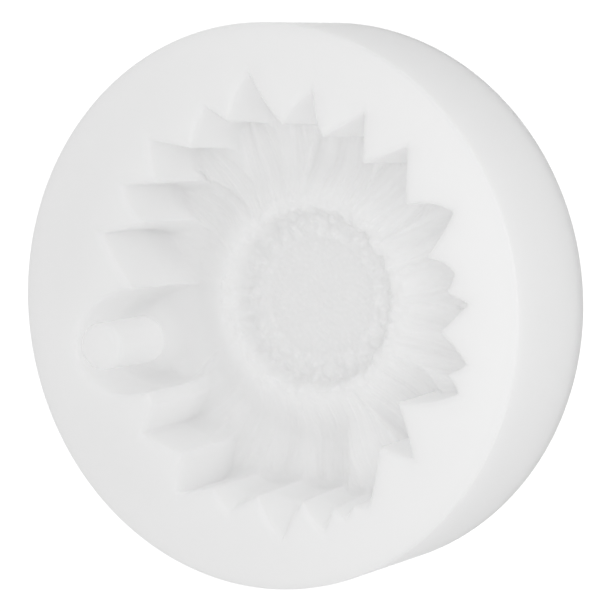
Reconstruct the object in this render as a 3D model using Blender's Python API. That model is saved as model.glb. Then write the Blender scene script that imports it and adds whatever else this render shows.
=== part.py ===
"""Silicone casting mould for a sunflower charm with a hanging loop.

The mould is a thick round disc that lies flat with its cavity up. Origin: centre of the underside.
+Z points up out of the cavity, +Y points from the flower towards its hanging loop.
"""

import math

import bmesh
import bpy

MM = 0.001

# Disc
MOULD_DIAMETER = 95.25 * MM
MOULD_HEIGHT = 25.4 * MM
EDGE_BEVEL = 0.4 * MM
DISC_SEGMENTS = 96

# Flower cavity, as depths below the open face
FLOWER_Y = -2.5 * MM
SEED_CENTRE_DEPTH = 17.0 * MM
SEED_EDGE_DEPTH = 16.0 * MM
RIDGE_DEPTH = 11.0 * MM
PETAL_ROOT_DEPTH = 14.5 * MM
FRONT_PETAL_DEPTH = 16.0 * MM
BACK_PETAL_DEPTH = 14.0 * MM
LEDGE_DEPTH = 7.0 * MM
LOOP_DEPTH = 13.0 * MM

# Flower cavity, as distances from the flower's centre
SEED_MID_RADIUS = 7.0 * MM
SEED_EDGE_RADIUS = 12.5 * MM
RIDGE_INNER_RADIUS = 16.0 * MM
RIDGE_OUTER_RADIUS = 17.8 * MM
PETAL_ROOT_RADIUS = 22.0 * MM
LEDGE_BULGE = 1.0 * MM
LEDGE_DRAFT = 0.4 * MM
WALL_DRAFT = 0.6 * MM

# Outline at the face: the notch beside the loop, then each petal counter-clockwise from +X as
# tip direction (degrees), tip reach (mm), direction and reach of the next notch, depth of its floor.
# The petals in LEDGED_TIPS end in a shallow ledge past the line between their two notches.
FIRST_NOTCH = (113.0, 30.5)
FRONT = FRONT_PETAL_DEPTH
BACK = BACK_PETAL_DEPTH
PETALS = (
    (117.0, 35.5, 131.0, 32.0, FRONT),
    (136.0, 38.5, 145.0, 34.0, FRONT),
    (152.0, 36.5, 160.0, 32.5, BACK),
    (168.0, 39.5, 175.0, 33.0, FRONT),
    (180.0, 38.5, 184.5, 35.0, BACK),
    (187.0, 37.5, 190.0, 36.0, BACK),
    (194.0, 37.5, 207.0, 30.0, BACK),
    (213.0, 35.5, 223.0, 27.5, FRONT),
    (235.0, 36.5, 238.5, 33.5, BACK),
    (243.0, 36.5, 250.0, 31.0, FRONT),
    (258.5, 36.0, 262.0, 32.0, BACK),
    (267.0, 34.0, 273.0, 29.5, FRONT),
    (282.0, 37.0, 291.0, 30.0, FRONT),
    (303.0, 36.5, 311.0, 29.0, FRONT),
    (318.0, 36.5, 328.0, 29.5, BACK),
    (334.0, 36.5, 343.0, 30.0, FRONT),
    (353.0, 39.0, 362.0, 31.5, BACK),
    (368.0, 35.5, 378.0, 30.5, BACK),
    (388.0, 36.5, 395.0, 30.5, BACK),
    (403.0, 35.5, 409.0, 29.0, FRONT),
    (418.0, 36.0, 433.0, 28.0, FRONT),
)
LEDGED_TIPS = (152.0, 168.0, 180.0, 187.0, 194.0)
RAYS_PER_FLANK = 2

# Hanging loop: an ellipse followed from the last petal's notch to LOOP_END degrees
LOOP_CENTRE = (-0.5 * MM, 27.0 * MM)
LOOP_HALF_WIDTH = 9.0 * MM
LOOP_HALF_LENGTH = 11.4 * MM
LOOP_END = 108.0
LOOP_RAYS = 11

# Post and the blind socket that it stands in
POST_Y = 33.5 * MM
POST_RADIUS = 4.1 * MM
POST_BEVEL = 0.3 * MM
POST_SEGMENTS = 32
SOCKET_DEPTH = 6.0 * MM
FIT_GAP = 0.3 * MM

CUT_MARGIN = 1.0 * MM


def clear_scene():
    for item in list(bpy.data.objects):
        bpy.data.objects.remove(item, do_unlink=True)


def silicone(name, colour, roughness):
    material = bpy.data.materials.new(name)
    material.use_nodes = True
    shader = material.node_tree.nodes["Principled BSDF"]
    shader.inputs["Base Color"].default_value = (*colour, 1.0)
    shader.inputs["Roughness"].default_value = roughness
    shader.inputs["Metallic"].default_value = 0.0
    return material


def add_object(name, bm, material=None):
    bmesh.ops.recalc_face_normals(bm, faces=bm.faces)
    mesh = bpy.data.meshes.new(name)
    bm.to_mesh(mesh)
    bm.free()
    item = bpy.data.objects.new(name, mesh)
    bpy.context.collection.objects.link(item)
    if material:
        mesh.materials.append(material)
    return item


def add_cutter(name, bm):
    cutter = add_object(name, bm)
    cutter.hide_render = True
    cutter.display_type = "WIRE"
    return cutter


def subtract(item, cutter):
    cut = item.modifiers.new(cutter.name, "BOOLEAN")
    cut.operation = "DIFFERENCE"
    cut.object = cutter


def shade_round(item, angle=math.radians(35)):
    item.data.shade_smooth()
    item.data.set_sharp_from_angle(angle=angle)


def turned(profile, segments, y=0.0):
    """Closed solid of revolution about the vertical axis at y, from (radius, z) pairs, bottom up."""
    bm = bmesh.new()
    rings = []
    for radius, z in profile:
        ring = []
        for k in range(segments):
            turn = 2 * math.pi * k / segments
            ring.append(bm.verts.new((radius * math.cos(turn), y + radius * math.sin(turn), z)))
        rings.append(ring)
    for lower, upper in zip(rings, rings[1:]):
        join_rings(bm, lower, upper)
    bm.faces.new(rings[0])
    bm.faces.new(rings[-1])
    return bm


def join_rings(bm, lower, upper):
    count = len(lower)
    for k in range(count):
        after = (k + 1) % count
        bm.faces.new((lower[k], lower[after], upper[after], upper[k]))


def loop_reach(direction):
    """Distance from the flower's centre to the far side of the loop's ellipse."""
    across = math.cos(direction) / LOOP_HALF_WIDTH
    along = math.sin(direction) / LOOP_HALF_LENGTH
    start_x = -LOOP_CENTRE[0] / LOOP_HALF_WIDTH
    start_y = (FLOWER_Y - LOOP_CENTRE[1]) / LOOP_HALF_LENGTH
    a = across**2 + along**2
    b = across * start_x + along * start_y
    c = start_x**2 + start_y**2 - 1
    return (-b + math.sqrt(b * b - a * c)) / a


def petal_rays():
    """Rays over the petals: direction, reach at the face, reach and depth of the floor's edge."""
    rays = []
    from_direction, from_reach = FIRST_NOTCH
    mean_depth = (FRONT + BACK) / 2
    for tip_direction, tip_reach, to_direction, to_reach, petal_depth in PETALS:
        for step in range(2 * RAYS_PER_FLANK):
            rise = step / RAYS_PER_FLANK
            if rise <= 1:
                direction = from_direction + (tip_direction - from_direction) * rise
                face = from_reach + (tip_reach - from_reach) * rise
            else:
                direction = tip_direction + (to_direction - tip_direction) * (rise - 1)
                face = tip_reach + (to_reach - tip_reach) * (rise - 1)
            edge = face * MM
            if tip_direction in LEDGED_TIPS:
                across = (direction - from_direction) / (to_direction - from_direction)
                ledge = (from_reach + (to_reach - from_reach) * across) * MM
                edge = min(edge, ledge + LEDGE_BULGE * math.sin(math.pi * across))
            edge -= WALL_DRAFT
            depth = mean_depth if step == 0 else petal_depth
            rays.append((math.radians(direction), face * MM, edge, depth))
        from_direction, from_reach = to_direction, to_reach
    return rays


def loop_rays():
    """Rays over the hanging loop, between the two notches beside it."""
    start = math.radians(PETALS[-1][2] - 360)
    end = math.radians(LOOP_END)
    rays = []
    for step in range(LOOP_RAYS):
        direction = start + (end - start) * step / (LOOP_RAYS - 1)
        face = loop_reach(direction)
        rays.append((direction, face, face - WALL_DRAFT, LOOP_DEPTH))
    return rays


def flower_pattern():
    """The flower that the silicone is poured around: it leaves the cavity in the disc."""
    rays = petal_rays() + loop_rays()
    flat_rings = (
        (SEED_MID_RADIUS, SEED_CENTRE_DEPTH - 0.3 * (SEED_CENTRE_DEPTH - SEED_EDGE_DEPTH)),
        (SEED_EDGE_RADIUS, SEED_EDGE_DEPTH),
        (RIDGE_INNER_RADIUS, RIDGE_DEPTH),
        (RIDGE_OUTER_RADIUS, RIDGE_DEPTH),
        (PETAL_ROOT_RADIUS, PETAL_ROOT_DEPTH),
    )
    bm = bmesh.new()

    def ring(places):
        points = []
        for (direction, _, _, _), (radius, depth) in zip(rays, places):
            x = radius * math.cos(direction)
            y = FLOWER_Y + radius * math.sin(direction)
            points.append(bm.verts.new((x, y, MOULD_HEIGHT - depth)))
        return points

    rings = [ring([place] * len(rays)) for place in flat_rings]
    rings.append(ring([(edge, depth) for _, _, edge, depth in rays]))
    rings.append(ring([(min(edge + LEDGE_DRAFT, face - WALL_DRAFT / 3), LEDGE_DEPTH)
                       for _, face, edge, _ in rays]))
    rings.append(ring([(face, 0.0) for _, face, _, _ in rays]))
    rings.append(ring([(face, -CUT_MARGIN) for _, face, _, _ in rays]))
    for lower, upper in zip(rings, rings[1:]):
        join_rings(bm, lower, upper)
    for end_ring, depth in ((rings[0], SEED_CENTRE_DEPTH), (rings[-1], -CUT_MARGIN)):
        middle = bm.verts.new((0.0, FLOWER_Y, MOULD_HEIGHT - depth))
        for k, point in enumerate(end_ring):
            bm.faces.new((middle, point, end_ring[(k + 1) % len(end_ring)]))
    return bm


def make_mould_body():
    radius = MOULD_DIAMETER / 2
    profile = (
        (radius - EDGE_BEVEL, 0.0),
        (radius, EDGE_BEVEL),
        (radius, MOULD_HEIGHT - EDGE_BEVEL),
        (radius - EDGE_BEVEL, MOULD_HEIGHT),
    )
    body = add_object("mould_body", turned(profile, DISC_SEGMENTS),
                      silicone("white_silicone", (0.84, 0.84, 0.83), 0.45))
    subtract(body, add_cutter("flower_pattern", flower_pattern()))
    recess_floor = MOULD_HEIGHT - LOOP_DEPTH
    socket = (
        (POST_RADIUS + FIT_GAP, recess_floor - SOCKET_DEPTH),
        (POST_RADIUS + FIT_GAP, recess_floor + CUT_MARGIN),
    )
    subtract(body, add_cutter("post_socket", turned(socket, POST_SEGMENTS, POST_Y)))
    shade_round(body)
    return body


def make_hole_post():
    foot = MOULD_HEIGHT - LOOP_DEPTH - SOCKET_DEPTH + FIT_GAP
    profile = (
        (POST_RADIUS - POST_BEVEL, foot),
        (POST_RADIUS, foot + POST_BEVEL),
        (POST_RADIUS, MOULD_HEIGHT - POST_BEVEL),
        (POST_RADIUS - POST_BEVEL, MOULD_HEIGHT),
    )
    post = add_object("hole_post", turned(profile, POST_SEGMENTS, 0.0),
                      silicone("post_silicone", (0.88, 0.88, 0.87), 0.4))
    post.location = (0.0, POST_Y, 0.0)
    shade_round(post)
    return post


def main():
    clear_scene()
    make_mould_body()
    make_hole_post()


main()
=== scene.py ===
"""Silicone casting mould for a sunflower charm: its looks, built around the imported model.

The mould lies flat with its cavity up. +Y points from the flower to its hanging loop.
"""

import math

import bpy
import numpy as np
from bpy.props import FloatProperty, FloatVectorProperty, IntProperty, PointerProperty
from mathutils import Matrix, Vector


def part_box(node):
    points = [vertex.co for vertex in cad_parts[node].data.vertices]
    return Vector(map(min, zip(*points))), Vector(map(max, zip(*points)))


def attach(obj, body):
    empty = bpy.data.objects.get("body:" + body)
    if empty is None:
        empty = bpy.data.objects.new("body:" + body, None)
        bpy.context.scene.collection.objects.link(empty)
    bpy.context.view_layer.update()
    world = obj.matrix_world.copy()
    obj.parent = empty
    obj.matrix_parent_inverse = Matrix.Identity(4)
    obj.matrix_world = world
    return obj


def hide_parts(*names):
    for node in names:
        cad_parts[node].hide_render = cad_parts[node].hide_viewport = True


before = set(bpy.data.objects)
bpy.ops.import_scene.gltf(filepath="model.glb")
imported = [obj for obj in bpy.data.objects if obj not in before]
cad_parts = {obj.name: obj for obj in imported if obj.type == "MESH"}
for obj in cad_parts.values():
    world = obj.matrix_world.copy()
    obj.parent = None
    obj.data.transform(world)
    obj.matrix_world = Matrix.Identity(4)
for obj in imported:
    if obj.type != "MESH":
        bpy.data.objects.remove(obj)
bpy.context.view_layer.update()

bl_info = {
    "name": "Flower Charm Mould",
    "version": (1, 0, 0),
    "blender": (4, 5, 0),
    "location": "View3D > Sidebar > Mould",
    "description": "Builds a silicone casting mould for a sunflower charm with a hanging loop",
    "category": "Add Mesh",
}

MM = 0.001
BODY_LOW, BODY_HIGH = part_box("mould_body")
POST_LOW, POST_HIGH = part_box("hole_post")
FACE_Z = BODY_HIGH[2]

# The cavity as depths below the open face and distances from the flower's centre
FLOWER_CENTRE = complex(0.0, -2.5 * MM)
PETAL_DEPTH = {"front": 16.5 * MM, "back": 14.5 * MM}
BETWEEN_PETALS_DEPTH = 13.4 * MM
LEDGE_DEPTH = 5.5 * MM
WALL_DRAFT = 0.5 * MM
LEDGE_BULGE = 1.0 * MM
LEDGE_LIP = 0.4 * MM
LIP_SPREAD = 2.2

# Seed bed and the ring of lumps round it, from the centre outwards: distance and depth (mm)
SEED_BED = (
    (0.0, 16.8), (7.0, 16.5), (10.0, 16.3), (10.6, 15.7), (11.2, 15.6), (12.2, 15.8),
    (14.0, 15.7), (14.7, 15.0), (15.2, 13.0), (15.7, 12.3), (17.0, 12.1), (19.5, 12.7),
    (22.0, 13.3), (26.0, 13.8), (60.0, 14.3),
)
SEED_RADIUS = 10.7 * MM
RIDGE_RADIUS = 16.0 * MM
RING_RADIUS = 17.8 * MM
RING_BLEND = 7.5 * MM
SEEDS_FADE = 0.6 * MM
LUMPS_FADE = 3.0 * MM
VEINS_FADE = 3.0 * MM

# Places where the floor stands higher: direction (degrees), distance, radius and height (mm).
# The first three are large lumps on the ring, the fourth is in the loop's neck, the fifth is
# the rise round the post and the last lifts the floor of three shallow petals.
RISES = (
    (292.0, 16.5, 2.4, 1.7),
    (68.0, 16.7, 1.6, 0.8),
    (17.0, 16.7, 1.7, 0.8),
    (102.5, 31.5, 2.8, 0.5),
    (90.0, 36.0, 8.5, 3.0),
    (186.0, 27.5, 9.0, 2.4),
)

# Outline at the face, counter-clockwise from +X about the flower's centre: the notch beside the
# loop, then each petal as tip direction (degrees), tip reach (mm), direction and reach of the
# next notch, its layer, and how far its two flanks bow out (mm)
FIRST_NOTCH = (113.0, 30.5)
PETALS = (
    (117.0, 35.5, 131.0, 32.0, "front", 0.0, 0.3),
    (136.0, 38.5, 145.0, 34.0, "front", 0.4, 0.0),
    (152.0, 36.5, 160.0, 32.5, "front", 0.2, 0.0),
    (168.0, 39.5, 175.0, 33.0, "front", 0.5, -0.2),
    (180.0, 38.5, 184.5, 35.0, "back", 0.3, 0.0),
    (187.0, 37.5, 190.0, 36.0, "back", 0.2, 0.0),
    (194.0, 37.5, 207.0, 30.0, "back", 0.0, 0.2),
    (213.0, 35.5, 223.0, 27.5, "front", 0.2, 0.2),
    (235.0, 36.5, 238.5, 33.5, "back", 0.8, 0.3),
    (243.0, 36.5, 250.0, 31.0, "front", 0.2, 0.2),
    (258.5, 36.0, 262.0, 32.0, "back", 0.0, 0.0),
    (267.0, 34.0, 273.0, 29.5, "front", 0.3, 0.7),
    (282.0, 37.0, 291.0, 30.0, "front", 0.2, 0.9),
    (303.0, 36.5, 311.0, 29.0, "front", 0.0, 0.0),
    (318.0, 36.5, 328.0, 29.5, "back", 0.0, 0.0),
    (334.0, 36.5, 343.0, 30.0, "front", -0.5, 0.6),
    (353.0, 39.0, 362.0, 31.5, "back", -0.5, 0.7),
    (368.0, 35.5, 378.0, 30.5, "back", 0.0, 0.5),
    (388.0, 36.5, 395.0, 30.5, "back", 0.0, 0.4),
    (403.0, 35.5, 409.0, 29.0, "front", 0.0, 0.8),
    (418.0, 36.0, 433.0, 28.0, "front", -0.2, 0.3),
)
LEDGED_TIPS = (152.0, 168.0, 180.0, 187.0, 194.0)
PETAL_HALF_WIDTH = {"front": 5.9 * MM, "back": 4.4 * MM}
PETAL_EDGE_SOFTNESS = 0.9 * MM
PETAL_CROWN = 0.9 * MM
PETAL_TAPER = 0.6
PETAL_SWELL = 1.2
TIP_RISE = 2.2 * MM
VEIN_SHIFT = 0.1

# The petals beside the loop are plainer and deeper, with a wider fillet at the foot of their walls
PLAIN_SIDE = math.radians(85)
PLAIN_SPREAD = math.radians(50)
PLAIN_FILLET = 2.6
PLAIN_DEEPENING = 2.8 * MM
PLAIN_SMOOTHING = 0.85

# Hanging loop
LOOP_CENTRE = complex(-0.5 * MM, 27.0 * MM)
LOOP_HALF_WIDTH = 9.0 * MM
LOOP_HALF_LENGTH = 11.4 * MM
LOOP_START = math.radians(-8)
LOOP_END = math.radians(186)

# Post: the rounding of its top, and the depth of the recess's floor under it, at its middle,
# beside it, and towards and away from the flower
POST_ROUNDING = 0.9 * MM
POST_MIDDLE_DEPTH = 12.6 * MM
POST_SIDE_DEPTH = 14.25 * MM
POST_NEAR_DEPTH = 14.55 * MM
POST_FAR_DEPTH = 10.1 * MM

# How finely the surfaces are divided
RAYS_PER_DEGREE = 2.0
RAYS = 752
FLOOR_STEP = 0.3 * MM
FLOOR_START = 0.35 * MM
PETAL_FLOOR_RINGS = 36
POST_SEGMENTS = 96

# Camera and stage
CAMERA_PLACE = Vector((-15.7, -244.8, 435.9)) * MM
CAMERA_RIGHT = Vector((-0.2149, -0.8432, -0.4927))
CAMERA_UP = Vector((0.9762, -0.2010, -0.0817))
CAMERA_LENS = 168.06
SENSOR_WIDTH = 36.0
TABLE_HALF = 3.0
DOME_STRENGTH = 0.73
SOFTBOX_PLACE = (-0.02, -0.10, 0.18)
SOFTBOX_SIZE = 0.12
SOFTBOX_POWER = 0.06


def linear_from_hex(code):
    """An sRGB hex colour as linear RGB."""
    channels = [int(code[k:k + 2], 16) / 255 for k in (1, 3, 5)]
    return [c / 12.92 if c <= 0.04045 else ((c + 0.055) / 1.055) ** 2.4 for c in channels]


def add_node(tree, kind, inputs=None, **settings):
    """A new node. inputs maps a socket's name or number to a value or to an output to link."""
    node = tree.nodes.new(kind)
    for name, value in settings.items():
        setattr(node, name, value)
    for key, value in (inputs or {}).items():
        socket = node.inputs[key]
        if isinstance(value, bpy.types.NodeSocket):
            tree.links.new(value, socket)
        else:
            socket.default_value = value
    return node


# ---------------------------------------------------------------- shapes of the cavity

def smooth_step(value):
    value = np.clip(value, 0.0, 1.0)
    return value * value * (3 - 2 * value)


def spoke(degrees, reach_mm):
    return reach_mm * MM * np.exp(1j * np.radians(degrees))


def bowed_flank(start, end, bow):
    """Points from start to end on a curve that stands bow out to the right of the way."""
    middle = (start + end) / 2 - 2j * bow * (end - start) / abs(end - start)
    t = np.linspace(0, 1, 60)
    return (1 - t) ** 2 * start + 2 * t * (1 - t) * middle + t ** 2 * end


def flank_rays(start, end, bow):
    """Directions and reaches over a flank, its end left out."""
    curve = bowed_flank(start, end, bow)
    turns = np.unwrap(np.angle(curve))
    count = max(2, round(math.degrees(turns[-1] - turns[0]) * RAYS_PER_DEGREE))
    directions = turns[0] + (turns[-1] - turns[0]) * np.arange(count) / count
    return directions, np.interp(directions, turns, np.abs(curve))


def loop_rays(start, end, count):
    """Directions and reaches round the hanging loop, evenly spaced along its wall."""
    turns = np.linspace(LOOP_START, LOOP_END, 400)
    oval = LOOP_HALF_WIDTH * np.cos(turns) + 1j * LOOP_HALF_LENGTH * np.sin(turns)
    curve = np.concatenate(([start], oval + LOOP_CENTRE - FLOWER_CENTRE, [end]))
    run = np.concatenate(([0], np.cumsum(np.abs(np.diff(curve)))))
    steps = run[-1] * np.arange(count) / count
    points = np.interp(steps, run, curve.real) + 1j * np.interp(steps, run, curve.imag)
    directions = np.maximum.accumulate(np.unwrap(np.angle(points)))
    return directions, np.abs(points)


def outline_rays():
    """Every ray: direction, reach at the face, and reach of the ledge's edge (the face's, if none)."""
    directions = []
    reaches = []
    ledges = []
    notch = spoke(*FIRST_NOTCH)
    for tip_at, tip_reach, notch_at, notch_reach, _, rise_bow, fall_bow in PETALS:
        tip = spoke(tip_at, tip_reach)
        after = spoke(notch_at, notch_reach)
        first_turn, last_turn = np.unwrap([np.angle(notch), np.angle(after)])
        for start, end, bow in ((notch, tip, rise_bow), (tip, after, fall_bow)):
            turns, faces = flank_rays(start, end, bow * MM)
            across = np.unwrap(np.append(first_turn, turns))[1:] - first_turn
            across /= last_turn - first_turn
            ledge = abs(notch) + (abs(after) - abs(notch)) * across
            ledge += LEDGE_BULGE * np.sin(np.pi * across)
            directions.append(turns)
            reaches.append(faces)
            ledges.append(np.minimum(ledge, faces) if tip_at in LEDGED_TIPS else faces)
        notch = after
    count = RAYS - sum(len(part) for part in directions)
    turns, faces = loop_rays(notch, spoke(*FIRST_NOTCH), count)
    directions.append(turns)
    reaches.append(faces)
    ledges.append(faces)
    return np.concatenate(directions), np.concatenate(reaches), np.concatenate(ledges)


def softened(values):
    """Values round a ring, each evened out with its neighbours."""
    return 0.25 * np.roll(values, 1) + 0.5 * values + 0.25 * np.roll(values, -1)


def plainness(direction):
    """1 in the middle of the plain side, falling to 0 away from it."""
    turned = np.angle(np.exp(1j * (direction - PLAIN_SIDE)))
    return np.exp(-(turned / PLAIN_SPREAD) ** 2)


def floor_depth(direction, radius):
    """Depth of the cavity's floor, and where each point lies on its petal: across and along."""
    across = np.zeros_like(radius)
    along = radius.copy()
    between = BETWEEN_PETALS_DEPTH + PLAIN_DEEPENING * plainness(direction)
    petals = between
    for tip_at, tip_reach, _, _, layer, _, _ in PETALS:
        turn = direction - math.radians(tip_at)
        out = radius * np.cos(turn)
        side = radius * np.sin(turn)
        share = np.clip((out - RIDGE_RADIUS) / (tip_reach * MM - RIDGE_RADIUS), 0, 1)
        half = PETAL_HALF_WIDTH[layer] * (1 - share) ** PETAL_TAPER * (1 + PETAL_SWELL * share)
        half += 0.001 * MM
        # Petals away from the loop grow shallower towards their tips
        away_from_loop = max(0, -math.sin(math.radians(tip_at)))
        deepest = PETAL_DEPTH[layer] - TIP_RISE * share ** 2 * away_from_loop
        crowned = deepest - PETAL_CROWN * np.minimum(1, (side / half) ** 2)
        cover = smooth_step((half - np.abs(side)) / PETAL_EDGE_SOFTNESS) * (out > 0)
        depth = between + (crowned - between) * cover
        won = depth > petals
        petals = np.where(won, depth, petals)
        spread = side / half * PETAL_HALF_WIDTH[layer]
        across = np.where(won, spread + math.radians(tip_at) * VEIN_SHIFT, across)
        along = np.where(won, out, along)
    profile = MM * np.interp(radius / MM, *zip(*SEED_BED))
    blend = smooth_step((radius - RING_RADIUS) / RING_BLEND)
    depth = profile + (petals - profile) * blend
    spots = radius * np.exp(1j * direction)
    for rise_at, reach, size, height in RISES:
        away = abs(spots - spoke(rise_at, reach)) / (size * MM)
        depth -= height * MM * (1 - smooth_step(away))
    return depth, across, along


def rim_reach(direction, radius):
    """Distance from the flower's centre to a circle round the disc's axis."""
    toward = FLOWER_CENTRE.real * np.cos(direction) + FLOWER_CENTRE.imag * np.sin(direction)
    return -toward + np.sqrt(toward ** 2 + radius ** 2 - abs(FLOWER_CENTRE) ** 2)


def body_rings(sizes):
    """Rings of the mould's surface from the cavity's centre, over the face and side, to the
    underside's centre: (radius, height, stride, relief) with one radius and height for each ray."""
    direction, face, ledge = outline_rays()
    face = softened(face)
    ledge = np.minimum(softened(ledge), face)
    ones = np.ones(RAYS)
    rings = []

    def add(radius, height, stride=1, relief=0.0):
        rings.append((radius * ones, height * ones, stride, relief))

    # Floor
    def add_floor(radius, stride):
        add(radius, FACE_Z - floor_depth(direction, radius * ones)[0], stride, 1.0)

    radius = FLOOR_START
    while radius < RING_RADIUS:
        add_floor(radius, 8 if radius < 3 * MM else 4 if radius < 7 * MM else 2)
        radius += FLOOR_STEP
    fillet = sizes.fillet * (1 + (PLAIN_FILLET - 1) * plainness(direction))
    foot = ledge - WALL_DRAFT - fillet
    for share in np.linspace(0, 1, PETAL_FLOOR_RINGS):
        add_floor(RING_RADIUS + (foot - RING_RADIUS) * share, 1)

    # Wall, from the floor's fillet to the ledge or halfway, then to the lip
    depth = floor_depth(direction, foot)[0]
    for turn in (0.2, 0.4, 0.6, 0.8, 1.0):
        bend = turn * math.pi / 2
        add(foot + fillet * math.sin(bend), FACE_Z - depth + fillet * (1 - math.cos(bend)))
    low = (ledge - WALL_DRAFT, FACE_Z - depth + fillet)
    has_ledge = ledge < face - 0.02 * MM
    ledge_end = np.minimum(ledge - WALL_DRAFT + LEDGE_LIP, face)
    middle = (np.where(has_ledge, ledge_end, face - WALL_DRAFT / 3), FACE_Z - LEDGE_DEPTH)
    lip = sizes.lip_radius
    high = (face, FACE_Z - lip)
    for share in np.linspace(0, 1, 8)[1:]:
        add(low[0] + (middle[0] - low[0]) * share, low[1] + (middle[1] - low[1]) * share)
    for share in np.linspace(0, 1, 9)[1:]:
        add(middle[0] + (high[0] - middle[0]) * share, middle[1] + (high[1] - middle[1]) * share)
    spread = LIP_SPREAD * lip
    for turn in (0.15, 0.3, 0.45, 0.6, 0.8, 1.0):
        bend = turn * math.pi / 2
        add(face + spread * (1 - math.cos(bend)), FACE_Z - lip * (1 - math.sin(bend)))

    # Face, rounded edge, side and underside
    edge = sizes.edge_radius
    disc = sizes.diameter / 2
    flat_end = rim_reach(direction, disc - edge)
    for share in (0.04, 0.12, 0.25, 0.4, 0.55, 0.7, 0.85, 0.95, 1.0):
        add(face + spread + (flat_end - face - spread) * share, FACE_Z)
    for turn in (0.2, 0.4, 0.6, 0.8, 1.0):
        bend = turn * math.pi / 2
        add(rim_reach(direction, disc - edge * (1 - math.sin(bend))),
            FACE_Z - edge * (1 - math.cos(bend)))
    for share in np.linspace(0, 1, 9)[1:]:
        add(rim_reach(direction, disc), FACE_Z - edge - (FACE_Z - 2 * edge) * share)
    for turn in (0.25, 0.5, 0.75, 1.0):
        bend = turn * math.pi / 2
        add(rim_reach(direction, disc - edge * (1 - math.cos(bend))), edge * (1 - math.sin(bend)))
    for share, stride in ((0.96, 1), (0.85, 1), (0.7, 2), (0.5, 2), (0.3, 4), (0.12, 8)):
        add(flat_end * share, 0.0, stride)
    return direction, rings


def join_rings(faces, first, second):
    """Faces between two rings of vertex numbers, one of which may have twice as many."""
    if len(first) == len(second):
        for k in range(len(first)):
            after = (k + 1) % len(first)
            faces.append((first[k], second[k], second[after], first[after]))
    elif len(second) == 2 * len(first):
        for k in range(len(first)):
            after = (2 * k + 2) % len(second)
            faces.append((first[k], second[2 * k], second[2 * k + 1], second[after],
                          first[(k + 1) % len(first)]))
    else:
        for k in range(len(second)):
            after = (2 * k + 2) % len(first)
            faces.append((first[2 * k], second[k], second[(k + 1) % len(second)], first[after],
                          first[2 * k + 1]))


def body_mesh(sizes):
    """The whole mould as one closed surface, with the attributes that its relief needs."""
    direction, rings = body_rings(sizes)
    places = [(0.0, FLOWER_CENTRE.imag, FACE_Z - SEED_BED[0][1] * MM)]
    marks = [(0.0, 0.0, 1.0, 0.0, 0.0)]
    numbered = []
    for radius, height, stride, relief in rings:
        spots = FLOWER_CENTRE + radius * np.exp(1j * direction)
        _, across, along = floor_depth(direction, radius)
        seeds = relief * (1 - smooth_step((radius - SEED_RADIUS + 0.5 * MM) / SEEDS_FADE))
        lumps = relief * (1 - seeds) * (1 - smooth_step((radius - RIDGE_RADIUS) / LUMPS_FADE))
        petals = relief * (1 - PLAIN_SMOOTHING * plainness(direction))
        petals *= smooth_step((radius - RIDGE_RADIUS) / VEINS_FADE)
        ring = []
        for k in range(0, RAYS, stride):
            ring.append(len(places))
            places.append((spots[k].real, spots[k].imag, height[k]))
            marks.append((across[k], along[k], seeds[k], lumps[k], petals[k]))
        numbered.append(ring)
    faces = []
    first = numbered[0]
    for k in range(len(first)):
        faces.append((0, first[k], first[(k + 1) % len(first)]))
    for ring, after in zip(numbered, numbered[1:]):
        join_rings(faces, ring, after)
    last = numbered[-1]
    end = len(places)
    places.append((0.0, FLOWER_CENTRE.imag, 0.0))
    marks.append((0.0, 0.0, 0.0, 0.0, 0.0))
    for k in range(len(last)):
        faces.append((last[k], end, last[(k + 1) % len(last)]))
    mesh = bpy.data.meshes.new("mould_body_surface")
    mesh.from_pydata(places, [], faces)
    for column, name in enumerate(("across", "along", "seeds", "lumps", "petals")):
        values = mesh.attributes.new(name, "FLOAT", "POINT").data
        values.foreach_set("value", [row[column] for row in marks])
    return mesh


# ---------------------------------------------------------------- relief as Geometry Nodes

VEIN_STRETCH = 16.0
FLUTE_SCALE = (0.36, 0.7, 1.0)
FLUTE_SHARE = 1.4
SEED_TO_NOISE = 17.3


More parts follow.
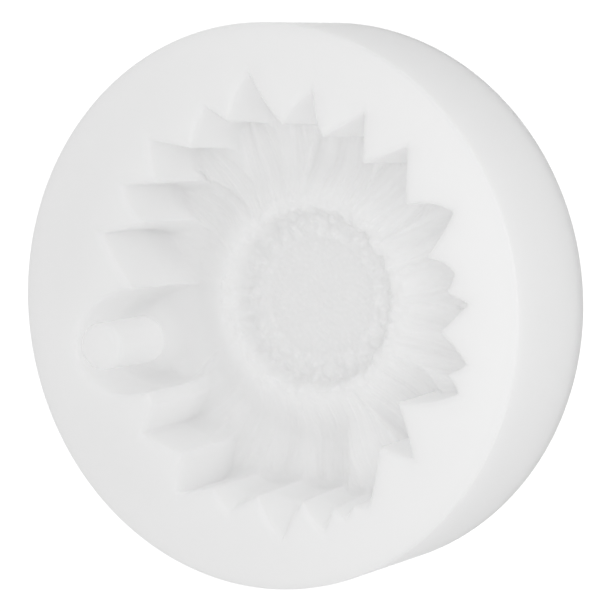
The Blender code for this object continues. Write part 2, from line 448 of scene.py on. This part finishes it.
def relief_tree():
    """Seeds on the disc in a sunflower's spiral, lumps on the ring round them, veins on petals."""
    tree = bpy.data.node_groups.new("cavity_relief", "GeometryNodeTree")
    tree.interface.new_socket("Geometry", in_out="INPUT", socket_type="NodeSocketGeometry")
    for name, kind in (
        ("Seed Spacing", "NodeSocketFloat"), ("Seed Height", "NodeSocketFloat"),
        ("Seed Count", "NodeSocketInt"),
        ("Lump Size", "NodeSocketFloat"), ("Lump Height", "NodeSocketFloat"),
        ("Vein Spacing", "NodeSocketFloat"), ("Vein Depth", "NodeSocketFloat"),
        ("Centre", "NodeSocketVector"), ("Random Seed", "NodeSocketInt"),
        ("Silicone", "NodeSocketMaterial"),
    ):
        tree.interface.new_socket(name, in_out="INPUT", socket_type=kind)
    tree.interface.new_socket("Geometry", in_out="OUTPUT", socket_type="NodeSocketGeometry")
    given = add_node(tree, "NodeGroupInput").outputs

    def maths(operation, first, second=0.0, third=0.0):
        inputs = {0: first, 1: second, 2: third}
        return add_node(tree, "ShaderNodeMath", inputs, operation=operation).outputs[0]

    def vectors(operation, first, second=(0, 0, 0)):
        return add_node(tree, "ShaderNodeVectorMath", {0: first, 1: second},
                        operation=operation).outputs[0]

    def attribute(name):
        return add_node(tree, "GeometryNodeInputNamedAttribute", {"Name": name},
                        data_type="FLOAT").outputs["Attribute"]

    place = add_node(tree, "GeometryNodeInputPosition").outputs[0]
    normal = add_node(tree, "GeometryNodeInputNormal").outputs[0]
    shuffle = maths("MULTIPLY", given["Random Seed"], SEED_TO_NOISE)

    # Seeds: point number i lies at spacing * sqrt(i), turned by the golden angle each time
    number = add_node(tree, "GeometryNodeInputIndex").outputs[0]
    reach = maths("MULTIPLY", maths("SQRT", number), given["Seed Spacing"])
    turn = maths("MULTIPLY", number, math.pi * (3 - math.sqrt(5)))
    spiral = add_node(tree, "ShaderNodeCombineXYZ", {
        0: maths("MULTIPLY", reach, maths("COSINE", turn)),
        1: maths("MULTIPLY", reach, maths("SINE", turn)),
    }).outputs[0]
    points = add_node(tree, "GeometryNodePoints", {
        "Count": given["Seed Count"],
        "Position": vectors("ADD", spiral, given["Centre"]),
    }).outputs[0]
    flat = vectors("MULTIPLY", place, (1, 1, 0))
    near = add_node(tree, "GeometryNodeProximity", {"Geometry": points, "Sample Position": flat},
                    target_element="POINTS").outputs["Distance"]
    seed_rise = maths("SUBTRACT", 1.0, maths("DIVIDE", near, given["Seed Spacing"]))
    seeds = maths("MULTIPLY", maths("MULTIPLY", seed_rise, given["Seed Height"]),
                  attribute("seeds"))

    # Lumps: rounded cells a lump across
    cells = add_node(tree, "ShaderNodeTexVoronoi", {
        "Vector": vectors("ADD", place, (0.01, 0.02, 0.03)),
        "W": shuffle,
        "Scale": maths("DIVIDE", 1.0, given["Lump Size"]),
        "Smoothness": 0.6,
    }, voronoi_dimensions="4D", feature="SMOOTH_F1").outputs["Distance"]
    lumps = maths("MULTIPLY", maths("SUBTRACT", 0.5, cells),
                  maths("MULTIPLY", given["Lump Height"], attribute("lumps")))

    # Veins: ridges that are long along the petal and narrow across it, over wider flutes
    vein_place = add_node(tree, "ShaderNodeCombineXYZ", {
        0: maths("DIVIDE", attribute("across"), given["Vein Spacing"]),
        1: maths("DIVIDE", attribute("along"), maths("MULTIPLY", given["Vein Spacing"], VEIN_STRETCH)),
        2: shuffle,
    }).outputs[0]
    vein_noise = add_node(tree, "ShaderNodeTexNoise", {
        "Vector": vein_place, "Scale": 1.0, "Detail": 1.5, "Roughness": 0.5,
    }).outputs[0]
    flute_place = vectors("MULTIPLY", vein_place, FLUTE_SCALE)
    flute_noise = add_node(tree, "ShaderNodeTexNoise", {
        "Vector": flute_place, "Scale": 1.0, "Detail": 0.0,
    }).outputs[0]
    both = maths("ADD", maths("SUBTRACT", vein_noise, 0.5),
                 maths("MULTIPLY", maths("SUBTRACT", flute_noise, 0.5), FLUTE_SHARE))
    veins = maths("MULTIPLY", both, maths("MULTIPLY", given["Vein Depth"], attribute("petals")))

    rise = maths("ADD", maths("ADD", seeds, lumps), maths("MULTIPLY", veins, 2.0))
    offset = add_node(tree, "ShaderNodeVectorMath", {0: normal, "Scale": rise},
                      operation="SCALE").outputs[0]
    moved = add_node(tree, "GeometryNodeSetPosition",
                     {"Geometry": given["Geometry"], "Offset": offset}).outputs[0]
    smooth = add_node(tree, "GeometryNodeSetShadeSmooth", {"Geometry": moved}).outputs[0]
    real = add_node(tree, "GeometryNodeRealizeInstances", {"Geometry": smooth}).outputs[0]
    dressed = add_node(tree, "GeometryNodeSetMaterial",
                       {"Geometry": real, "Material": given["Silicone"]}).outputs[0]
    add_node(tree, "NodeGroupOutput", {0: dressed})
    return tree


def apply_tree(item, tree, values):
    """Runs a tree on item with its named inputs, and leaves the result as a plain mesh."""
    modifier = item.modifiers.new(tree.name, "NODES")
    modifier.node_group = tree
    for socket in tree.interface.items_tree:
        if socket.in_out == "INPUT" and socket.name in values:
            modifier[socket.identifier] = values[socket.name]
    bpy.context.view_layer.update()
    result = bpy.data.meshes.new_from_object(
        item.evaluated_get(bpy.context.evaluated_depsgraph_get()))
    item.modifiers.remove(modifier)
    rough = item.data
    item.data = result
    result.name = item.name
    bpy.data.meshes.remove(rough)


# ---------------------------------------------------------------- materials

def silicone_material(name, colour, roughness, scatter, place):
    """Cast platinum-cure silicone, white with a little pigment: light goes some millimetres in and
    softens every shadow, and the skin has a dull satin gloss with a faint cloudiness."""
    material = bpy.data.materials.new(name)
    material.use_nodes = True
    tree = material.node_tree
    tree.nodes.clear()
    coordinates = add_node(tree, "ShaderNodeTexCoord").outputs["Object"]
    centred = add_node(tree, "ShaderNodeMapping",
                       {"Vector": coordinates, "Location": place}).outputs[0]
    # Pigment mixed unevenly, in clouds about 18 mm across
    clouds = add_node(tree, "ShaderNodeTexNoise",
                      {"Vector": centred, "Scale": 1 / (18 * MM), "Detail": 3.0}).outputs[0]
    pigment = add_node(tree, "ShaderNodeMix", {
        0: clouds, 6: (*colour, 1.0), 7: (*(0.985 * channel for channel in colour), 1.0),
    }, data_type="RGBA").outputs[2]
    # Handled skin: gloss that wanders over 6 mm
    wear = add_node(tree, "ShaderNodeTexNoise",
                    {"Vector": centred, "Scale": 1 / (6 * MM), "Detail": 4.0}).outputs[0]
    gloss = add_node(tree, "ShaderNodeMapRange", {
        "Value": wear, "From Min": 0.3, "From Max": 0.7,
        "To Min": roughness - 0.05, "To Max": roughness + 0.07,
    }).outputs[0]
    # Skin texture from the pattern it was cast on, 0.5 mm, with a slow ripple of 9 mm
    grain = add_node(tree, "ShaderNodeTexNoise",
                     {"Vector": centred, "Scale": 1 / (0.5 * MM), "Detail": 2.0}).outputs[0]
    fine = add_node(tree, "ShaderNodeBump", {
        "Strength": 0.06, "Distance": 0.05 * MM, "Height": grain,
    }).outputs[0]
    ripple = add_node(tree, "ShaderNodeTexNoise",
                      {"Vector": centred, "Scale": 1 / (9 * MM), "Detail": 1.0}).outputs[0]
    bump = add_node(tree, "ShaderNodeBump", {
        "Strength": 0.25, "Distance": 0.3 * MM, "Height": ripple, "Normal": fine,
    }).outputs[0]
    shader = add_node(tree, "ShaderNodeBsdfPrincipled", {
        "Base Color": pigment,
        "Roughness": gloss,
        "IOR": 1.41,
        "Specular IOR Level": 0.5,
        "Subsurface Weight": 1.0,
        "Subsurface Radius": (1.0, 1.0, 1.0),
        "Subsurface Scale": scatter,
        "Normal": bump,
    }).outputs[0]
    add_node(tree, "ShaderNodeOutputMaterial", {"Surface": shader})
    return material


def table_material(name, colour, glow):
    """Matt white laminate, lit from below by glow so that it reads as a plain white sweep."""
    material = bpy.data.materials.new(name)
    material.use_nodes = True
    tree = material.node_tree
    tree.nodes.clear()
    shader = add_node(tree, "ShaderNodeBsdfPrincipled", {
        "Base Color": (*linear_from_hex(colour), 1.0),
        "Roughness": 0.9,
        "Specular IOR Level": 0.1,
        "Emission Color": (1.0, 1.0, 1.0, 1.0),
        "Emission Strength": glow,
    }).outputs[0]
    add_node(tree, "ShaderNodeOutputMaterial", {"Surface": shader})
    return material


# ---------------------------------------------------------------- properties

class MouldSizes(bpy.types.PropertyGroup):
    """Sizes of the mould that a maker would change."""

    diameter: FloatProperty(
        name="Diameter", description="Across the disc",
        default=BODY_HIGH[0] - BODY_LOW[0], unit="LENGTH")
    edge_radius: FloatProperty(
        name="Edge Radius", description="Rounding of the disc's two edges",
        default=0.45 * MM, unit="LENGTH", precision=5)
    lip_radius: FloatProperty(
        name="Lip Radius", description="Rounding where the cavity meets the face",
        default=0.85 * MM, unit="LENGTH", precision=5)
    fillet: FloatProperty(
        name="Floor Fillet", description="Rounding where the petals' walls meet the floor",
        default=1.6 * MM, unit="LENGTH", precision=5)
    post_diameter: FloatProperty(
        name="Post Diameter", description="Across the post that keeps the loop's hole open",
        default=POST_HIGH[0] - POST_LOW[0], unit="LENGTH")


class ReliefSizes(bpy.types.PropertyGroup):
    """Fine relief on the cavity's floor."""

    seed_spacing: FloatProperty(
        name="Seed Spacing", description="Spiral constant: seed i lies at this times the root of i",
        default=0.62 * MM, unit="LENGTH", precision=5)
    seed_height: FloatProperty(
        name="Seed Height", description="How far a seed stands up or, below zero, sinks in",
        default=0.2 * MM, unit="LENGTH", precision=5)
    lump_size: FloatProperty(
        name="Lump Size", description="Across one lump on the ring round the seeds",
        default=1.35 * MM, unit="LENGTH", precision=5)
    lump_height: FloatProperty(
        name="Lump Height", description="Height of those lumps",
        default=1.8 * MM, unit="LENGTH", precision=5)
    vein_spacing: FloatProperty(
        name="Vein Spacing", description="Distance between the petals' veins",
        default=0.8 * MM, unit="LENGTH", precision=5)
    vein_depth: FloatProperty(
        name="Vein Depth", description="Height of the petals' veins",
        default=0.45 * MM, unit="LENGTH", precision=5)
    random_seed: IntProperty(
        name="Random Seed", description="Another number gives other lumps and veins", default=4)


class SiliconeFinish(bpy.types.PropertyGroup):
    """Colour and skin of the silicone."""

    body_colour: FloatVectorProperty(
        name="Body Colour", description="Colour of the disc's pigmented silicone",
        subtype="COLOR", size=3, min=0.0, max=1.0, default=linear_from_hex("#FDFDFD"))
    # Painted light: the post's colour is a touch lighter than the body's, though both are the same
    # silicone, standing in for light that enters the thin post from its sides
    post_colour_painted_lighter: FloatVectorProperty(
        name="Post Colour", description="Colour of the post's pigmented silicone",
        subtype="COLOR", size=3, min=0.0, max=1.0, default=linear_from_hex("#FEFEFE"))
    roughness: FloatProperty(
        name="Roughness", description="Mean roughness of the skin", default=0.42,
        subtype="FACTOR", min=0.0, max=1.0)
    body_scatter: FloatProperty(
        name="Body Scatter", description="How far light goes into the disc's silicone",
        default=8.0 * MM, unit="LENGTH", precision=5)
    post_scatter: FloatProperty(
        name="Post Scatter", description="How far light goes into the post's silicone",
        default=8.0 * MM, unit="LENGTH", precision=5)


# ---------------------------------------------------------------- pieces

def add_piece(name, mesh):
    item = bpy.data.objects.new(name, mesh)
    bpy.context.scene.collection.objects.link(item)
    return item


class MOULD_OT_body(bpy.types.Operator):
    """Adds the silicone disc with its flower cavity"""

    bl_idname = "mould.add_body"
    bl_label = "Add Mould Body"

    def execute(self, context):
        relief = context.scene.mould_relief
        finish = context.scene.mould_finish
        silicone = silicone_material("cast_white_silicone", finish.body_colour,
                                     finish.roughness, finish.body_scatter, (0.0, 0.0, 0.0))
        body = add_piece("casting_mould_body", body_mesh(context.scene.mould_sizes))
        apply_tree(body, relief_tree(), {
            "Seed Spacing": relief.seed_spacing,
            "Seed Height": relief.seed_height,
            "Seed Count": int((SEED_RADIUS / relief.seed_spacing) ** 2),
            "Lump Size": relief.lump_size,
            "Lump Height": relief.lump_height,
            "Vein Spacing": relief.vein_spacing,
            "Vein Depth": relief.vein_depth,
            "Centre": (FLOWER_CENTRE.real, FLOWER_CENTRE.imag, 0.0),
            "Random Seed": relief.random_seed,
            "Silicone": silicone,
        })
        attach(body, "root")
        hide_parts("mould_body")
        return {"FINISHED"}


class MOULD_OT_post(bpy.types.Operator):
    """Adds the post that keeps the hole of the hanging loop open"""

    bl_idname = "mould.add_post"
    bl_label = "Add Hole Post"

    def execute(self, context):
        finish = context.scene.mould_finish
        radius = context.scene.mould_sizes.post_diameter / 2
        centre = complex((POST_LOW[0] + POST_HIGH[0]) / 2, (POST_LOW[1] + POST_HIGH[1]) / 2)
        top = POST_HIGH[2]
        turns = 2 * np.pi * np.arange(POST_SEGMENTS) / POST_SEGMENTS
        away = np.sin(turns)
        depth = np.where(
            away > 0,
            POST_SIDE_DEPTH + (POST_FAR_DEPTH - POST_SIDE_DEPTH) * np.maximum(away, 0) ** 1.5,
            POST_SIDE_DEPTH + (POST_NEAR_DEPTH - POST_SIDE_DEPTH) * np.maximum(-away, 0))
        foot = FACE_Z - depth
        shoulder = top - POST_ROUNDING
        rings = [(radius * share, top) for share in (0.4, 0.7)]
        for turn in (1.0, 0.8, 0.6, 0.45, 0.3, 0.15, 0.0):
            bend = turn * math.pi / 2
            rings.append((radius - POST_ROUNDING * (1 - math.cos(bend)),
                          top - POST_ROUNDING * (1 - math.sin(bend))))
        for share in np.linspace(0, 1, 9)[1:]:
            rings.append((radius, shoulder + (foot - shoulder) * share))
        places = [(centre.real, centre.imag, top)]
        numbered = []
        for reach, heights in rings:
            spots = centre + reach * np.exp(1j * turns)
            numbered.append(range(len(places), len(places) + POST_SEGMENTS))
            places += zip(spots.real, spots.imag, heights * np.ones(POST_SEGMENTS))
        bottom = len(places)
        places.append((centre.real, centre.imag, FACE_Z - POST_MIDDLE_DEPTH))
        faces = []
        first, last = numbered[0], numbered[-1]
        for k in range(POST_SEGMENTS):
            after = (k + 1) % POST_SEGMENTS
            faces.append((0, first[k], first[after]))
            faces.append((bottom, last[after], last[k]))
        for ring, after in zip(numbered, numbered[1:]):
            join_rings(faces, ring, after)
        mesh = bpy.data.meshes.new("hole_post_surface")
        mesh.from_pydata(places, [], faces)
        mesh.shade_smooth()
        mesh.set_sharp_from_angle(angle=math.radians(50))
        # The post's silicone is painted a touch lighter than the body's: painted light for the post's
        # brighter top and side
        mesh.materials.append(silicone_material(
            "post_white_silicone_painted_lighter", finish.post_colour_painted_lighter, finish.roughness, finish.post_scatter,
            (0.05, 0.0, 0.0)))
        post = add_piece("loop_hole_post", mesh)
        # The real post hands its light down to the silicone that it stands in
        post.visible_shadow = False
        post.visible_diffuse = False
        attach(post, "root")
        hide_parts("hole_post")
        return {"FINISHED"}


class MOULD_OT_stage(bpy.types.Operator):
    """Adds the white table, soft studio light and the camera"""

    bl_idname = "mould.add_stage"
    bl_label = "Add Stage"

    def execute(self, context):
        scene = context.scene
        scene.view_settings.view_transform = "Standard"
        # Light leaves a deep white cavity only after many bounces
        scene.cycles.diffuse_bounces = 12
        scene.cycles.max_bounces = 16
        # The camera sees a bright sheet, and the light bounces off a greyer one in the same place,
        # so that the mould's side isn't washed out from below
        sheets = (
            ("table", "#8A8A8A", 0.9, -0.05 * MM),
            ("table_bounce", "#F0F0F0", 0.05, -0.15 * MM),
        )
        for name, colour, glow, height in sheets:
            mesh = bpy.data.meshes.new(name)
            mesh.from_pydata([(TABLE_HALF * x, TABLE_HALF * y, height)
                              for x, y in ((-1, -1), (1, -1), (1, 1), (-1, 1))], [], [(0, 1, 2, 3)])
            mesh.materials.append(table_material("laminate_" + name, colour, glow))
            sheet = add_piece(name, mesh)
            sheet.visible_camera = name == "table"
            sheet.visible_diffuse = name != "table"
            sheet.visible_glossy = name != "table"
            sheet.visible_transmission = name != "table"
            sheet.visible_shadow = name != "table"

        world = bpy.data.worlds.new("studio")
        scene.world = world
        world.use_nodes = True
        background = world.node_tree.nodes["Background"]
        background.inputs["Color"].default_value = (1.0, 1.0, 1.0, 1.0)
        background.inputs["Strength"].default_value = DOME_STRENGTH

        lamp = bpy.data.lights.new("softbox", "AREA")
        lamp.shape = "DISK"
        lamp.size = SOFTBOX_SIZE
        lamp.energy = SOFTBOX_POWER
        item = bpy.data.objects.new("softbox", lamp)
        item.location = SOFTBOX_PLACE
        item.visible_camera = False
        scene.collection.objects.link(item)

        camera = bpy.data.objects.new("camera", bpy.data.cameras.new("camera"))
        camera.data.lens = CAMERA_LENS
        camera.data.sensor_width = SENSOR_WIDTH
        back = CAMERA_RIGHT.cross(CAMERA_UP)
        turn = Matrix((CAMERA_RIGHT, CAMERA_UP, back)).transposed().to_4x4()
        camera.matrix_world = Matrix.Translation(CAMERA_PLACE) @ turn
        scene.collection.objects.link(camera)
        scene.camera = camera
        return {"FINISHED"}


class MOULD_PT_panel(bpy.types.Panel):
    """Lists the mould's sizes, finish and pieces"""

    bl_idname = "MOULD_PT_panel"
    bl_label = "Flower Charm Mould"
    bl_space_type = "VIEW_3D"
    bl_region_type = "UI"
    bl_category = "Mould"

    def draw(self, context):
        for group in (context.scene.mould_sizes, context.scene.mould_relief,
                      context.scene.mould_finish):
            box = self.layout.box()
            for name in group.__annotations__:
                box.prop(group, name)
        for operator in OPERATORS:
            self.layout.operator(operator.bl_idname)


OPERATORS = (MOULD_OT_body, MOULD_OT_post, MOULD_OT_stage)
CLASSES = (MouldSizes, ReliefSizes, SiliconeFinish, *OPERATORS, MOULD_PT_panel)


def register():
    for item in CLASSES:
        bpy.utils.register_class(item)
    bpy.types.Scene.mould_sizes = PointerProperty(type=MouldSizes)
    bpy.types.Scene.mould_relief = PointerProperty(type=ReliefSizes)
    bpy.types.Scene.mould_finish = PointerProperty(type=SiliconeFinish)


def unregister():
    del bpy.types.Scene.mould_finish
    del bpy.types.Scene.mould_relief
    del bpy.types.Scene.mould_sizes
    for item in reversed(CLASSES):
        bpy.utils.unregister_class(item)


def main():
    register()
    bpy.ops.mould.add_stage()
    bpy.ops.mould.add_body()
    bpy.ops.mould.add_post()


if __name__ == "__main__":
    main()
